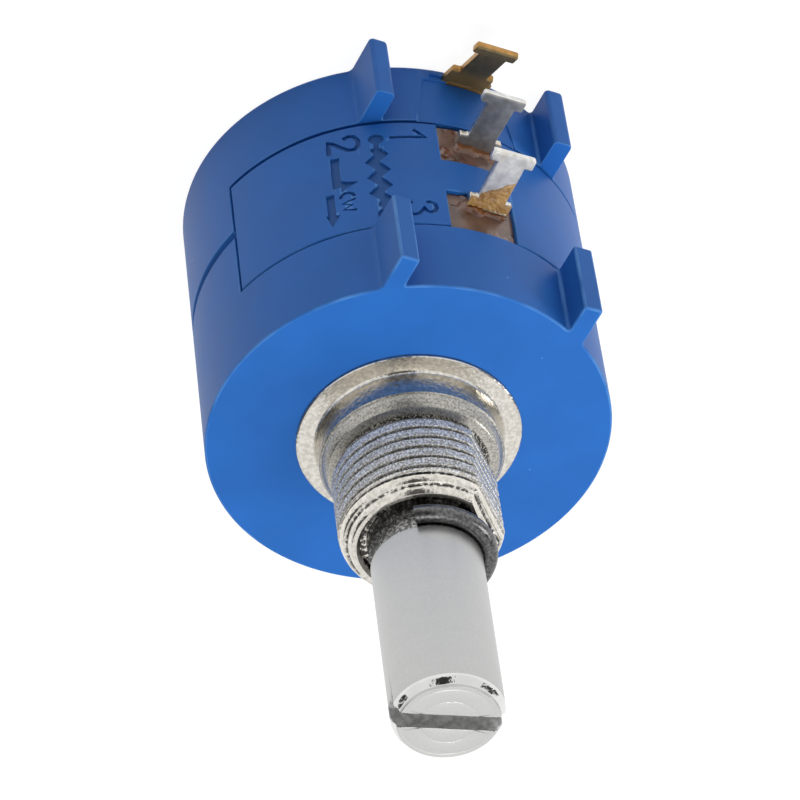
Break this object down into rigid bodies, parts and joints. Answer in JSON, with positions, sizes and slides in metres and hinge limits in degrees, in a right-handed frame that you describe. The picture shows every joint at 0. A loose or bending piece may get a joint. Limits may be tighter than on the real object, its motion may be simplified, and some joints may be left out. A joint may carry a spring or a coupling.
{
  "type": "multiturn potentiometer",
  "caption": "Wirewound multiturn potentiometer with a threaded panel bushing, a slotted shaft, a ribbed two-cup moulded housing and solder lugs on its side.",
  "frame": {"origin": "centre of the housing's front face, on the shaft's axis", "axes": "+Z along the shaft to its slotted end, +X out of the side with the solder lugs, +Y completes a right-handed frame"},
  "size_m": [0.0265, 0.0222, 0.0391],
  "materials": {
    "housing_plastic": "satin moulded blue thermoset",
    "carrier_plastic": "brown moulded resin",
    "plated_brass": "turned brass, nickel plated, satin",
    "spring_steel": "dark hardened spring steel",
    "tinned_lug": "tinned sheet brass",
    "bare_lug": "tarnished sheet brass",
    "resistance_wire": "wound resistance wire",
    "bearing_bronze": "sintered bronze",
    "shaft_steel": "turned and ground",
    "washer_steel": "stamped",
    "rotor_plastic": "ivory moulded nylon",
    "contact_metal": "gold-coloured contact alloy",
    "carriage_plastic": "white moulded acetal"
  },
  "bodies": {
    "housing": {"front_housing": "housing_plastic", "rear_housing": "housing_plastic", "terminal_plate": "housing_plastic", "element_carrier": "carrier_plastic", "bushing": "plated_brass", "lock_washer": "spring_steel", "terminal_1": "tinned_lug", "terminal_2": "bare_lug", "terminal_3": "tinned_lug", "end_clip_1": "tinned_lug", "end_clip_3": "tinned_lug", "resistance_element": "resistance_wire", "rear_bearing": "bearing_bronze", "slip_ring_brush": "contact_metal", "brush_rivet": "contact_metal"},
    "rotor_body": {"shaft": "shaft_steel", "retaining_ring": "spring_steel", "thrust_washer": "washer_steel", "rotor": "rotor_plastic", "collector_rail": "contact_metal", "slip_ring": "contact_metal"},
    "wiper": {"wiper_carriage": "carriage_plastic", "wiper_contact": "contact_metal", "collector_brush": "contact_metal"}
  },
  "joints": [
    {"name": "shaft_turn", "type": "hinge", "parent": "housing", "child": "rotor_body", "pos_m": [0, 0, 0], "axis": [0, 0, -1], "range_deg": [0, 3600]},
    {"name": "wiper_travel", "type": "slide", "parent": "rotor_body", "child": "wiper", "axis": [0, 0, 1], "range_m": [0, 0.01201]}
  ],
  "couplings": [
    {"joint": "wiper_travel", "follows": "shaft_turn", "m_per_rad": 0.00019099}
  ]
}
